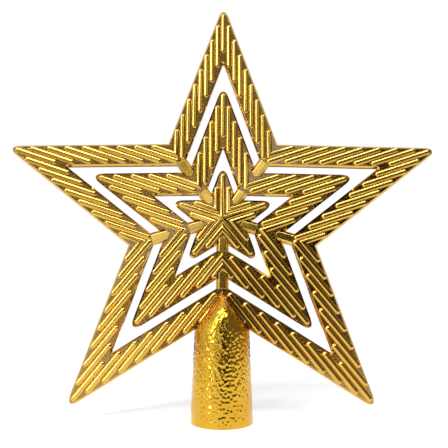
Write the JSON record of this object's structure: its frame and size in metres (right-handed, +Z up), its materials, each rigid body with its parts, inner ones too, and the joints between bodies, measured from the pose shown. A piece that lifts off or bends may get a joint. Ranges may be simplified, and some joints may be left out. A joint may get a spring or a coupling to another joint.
{
  "type": "christmas tree topper star",
  "caption": "Star-shaped tree topper: flat ribbed stars nested in one plane and joined by short tie bars, on a hammered tapered socket that slips over a treetop.",
  "frame": {"origin": "centre of the socket's mouth, on its lower rim", "axes": "+Z up the socket's axis, +X to the right seen from the front, the star's front towards -Y"},
  "size_m": [0.1994, 0.0272, 0.1944],
  "materials": {
    "ribbed_gold": "bright gold vacuum-metallised film on moulded plastic, ribbed",
    "smooth_gold": "bright gold vacuum-metallised film on moulded plastic, smooth",
    "hammered_gold": "bright gold vacuum-metallised film on moulded plastic, hammered grain"
  },
  "bodies": {
    "root": {"outer_star": "ribbed_gold", "inner_star": "ribbed_gold", "centre_star": "ribbed_gold", "outer_tie_upper_left": "smooth_gold", "outer_tie_upper_right": "smooth_gold", "outer_tie_lower_left": "smooth_gold", "outer_tie_lower_right": "smooth_gold", "outer_tie_bottom": "smooth_gold", "inner_tie_upper_left": "smooth_gold", "inner_tie_upper_right": "smooth_gold", "inner_tie_lower_left": "smooth_gold", "inner_tie_lower_right": "smooth_gold", "inner_tie_bottom": "smooth_gold", "socket_cone": "hammered_gold"}
  },
  "joints": []
}
